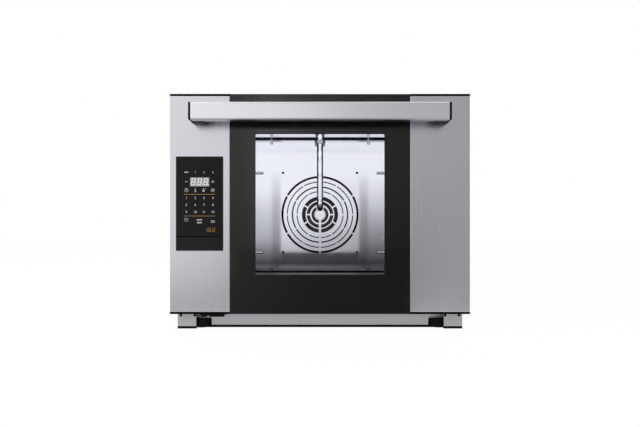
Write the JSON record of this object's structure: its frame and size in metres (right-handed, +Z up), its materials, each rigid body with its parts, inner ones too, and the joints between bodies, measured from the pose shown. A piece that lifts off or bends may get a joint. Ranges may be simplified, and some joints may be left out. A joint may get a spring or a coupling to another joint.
{
  "type": "countertop combi oven",
  "caption": "Countertop combi oven with a drop-down glass door, bar handle, touch panel in the door, fan cavity with tray racks and water pipe.",
  "frame": {"origin": "middle of the footprint on the table, under the centre of the overall box", "axes": "+X to the right of someone facing the door, +Y from the door to the back, +Z up"},
  "size_m": [0.6, 0.69, 0.475],
  "materials": {
    "brushed_steel": "vertical brushed grain",
    "plain_steel": "satin sheet",
    "liner_steel": "bright rolled sheet",
    "bright_steel": "polished rod",
    "hinge_steel": "zinc plated",
    "dark_metal": "dark matt",
    "black_enamel": "black enamel",
    "clear_glass": "toughened, clear",
    "panel_glass": "glossy black",
    "black_plastic": "matt black",
    "black_rubber": "matt",
    "mineral_wool": "fibrous",
    "brass": "turned",
    "copper": "drawn tube",
    "circuit_board": "solder mask",
    "lamp_diffuser": "white diffuser"
  },
  "bodies": {
    "chassis": {"base_skirt": "brushed_steel", "corner_shoes": "brushed_steel", "left_side_panel": "plain_steel", "right_side_panel": "plain_steel", "top_cover": "plain_steel", "rear_panel": "plain_steel", "base_pan": "plain_steel", "cavity_liner": "liner_steel", "front_frame": "liner_steel", "fan_deflector": "liner_steel", "deflector_hooks": "liner_steel", "left_tray_rack": "bright_steel", "right_tray_rack": "bright_steel", "rack_studs": "bright_steel", "steam_pipe": "bright_steel", "pipe_flange": "bright_steel", "pipe_nut": "bright_steel", "deflector_spacers": "bright_steel", "exhaust_pipe": "bright_steel", "temperature_probe": "bright_steel", "hinge_lugs": "hinge_steel", "hinge_pins": "hinge_steel", "motor_plate": "hinge_steel", "deflector_screws": "dark_metal", "motor_body": "dark_metal", "heating_element": "dark_metal", "cable_guide": "black_plastic", "cable_gland": "black_plastic", "terminal_block": "black_plastic", "rubber_feet": "black_rubber", "shoe_pads": "black_rubber", "door_gasket": "black_rubber", "insulation": "mineral_wool", "water_valve": "brass", "feed_pipe": "copper", "power_board": "circuit_board"},
    "door": {"inner_panel": "plain_steel", "window_surround": "black_enamel", "outer_glass": "clear_glass", "inner_glass": "clear_glass", "glass_clips": "liner_steel", "door_lamps": "lamp_diffuser", "left_door_cover": "brushed_steel", "right_door_cover": "brushed_steel", "top_rail": "black_plastic", "bottom_rail": "black_plastic", "handle_bar": "brushed_steel", "handle_end_caps": "black_plastic", "handle_brackets": "dark_metal", "hinge_cases": "hinge_steel", "control_housing": "black_plastic", "control_glass": "panel_glass", "control_lower_cover": "panel_glass", "control_board": "circuit_board", "display_module": "black_plastic"},
    "fan": {"fan_wheel": "liner_steel", "fan_nut": "bright_steel", "motor_shaft": "bright_steel", "cooling_impeller": "black_plastic"}
  },
  "joints": [
    {"name": "door_hinge", "type": "hinge", "parent": "chassis", "child": "door", "pos_m": [0, -0.263, 0.046], "axis": [1, 0, 0], "range_deg": [0, 84], "stiffness_Nm_per_rad": 6, "springref_deg": -17.19},
    {"name": "fan_spin", "type": "hinge", "parent": "chassis", "child": "fan", "pos_m": [0, 0.185, 0.233], "axis": [0, 1, 0], "continuous": true}
  ]
}
